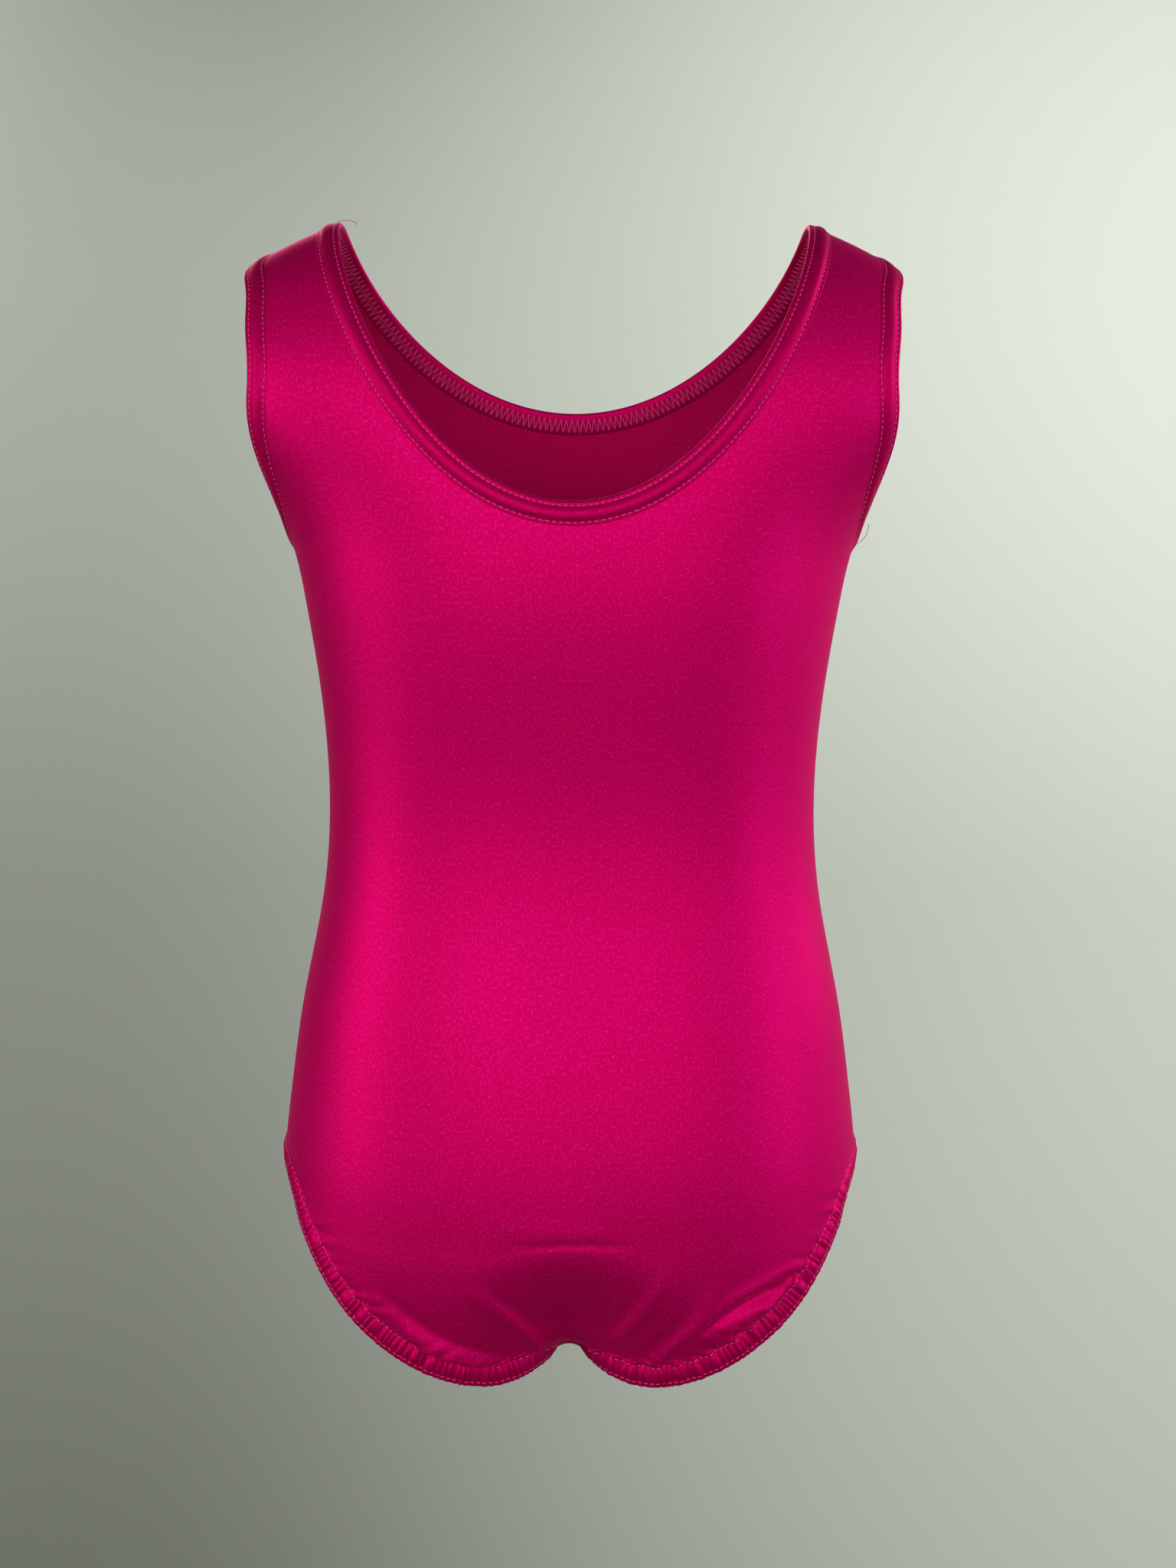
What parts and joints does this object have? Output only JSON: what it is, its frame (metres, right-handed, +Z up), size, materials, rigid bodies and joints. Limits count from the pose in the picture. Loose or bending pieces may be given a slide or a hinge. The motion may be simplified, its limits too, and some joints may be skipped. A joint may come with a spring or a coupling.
{
  "type": "leotard",
  "caption": "Sleeveless leotard in its worn, hollow shape, with a deep scooped back, elastic casings round the neck and armholes, and gathered leg openings.",
  "frame": {"origin": "midway between the two shoulder straps, level with the neck ends of the shoulder seams, where the wearer's shoulders hold the garment up", "axes": "+X to the wearer's left, -Y out of the front, +Z up"},
  "size_m": [0.2606, 0.1671, 0.4696],
  "materials": {
    "satin": "magenta stretch satin knit with a soft sheen",
    "casing": "the same satin knit, turned in over elastic and stitched in two rows"
  },
  "bodies": {
    "root": {"back_panel": "satin", "front_panel": "satin", "neck_casing": "casing", "armhole_casing_left": "casing", "armhole_casing_right": "casing", "leg_casing_left": "casing", "leg_casing_right": "casing"}
  },
  "joints": []
}
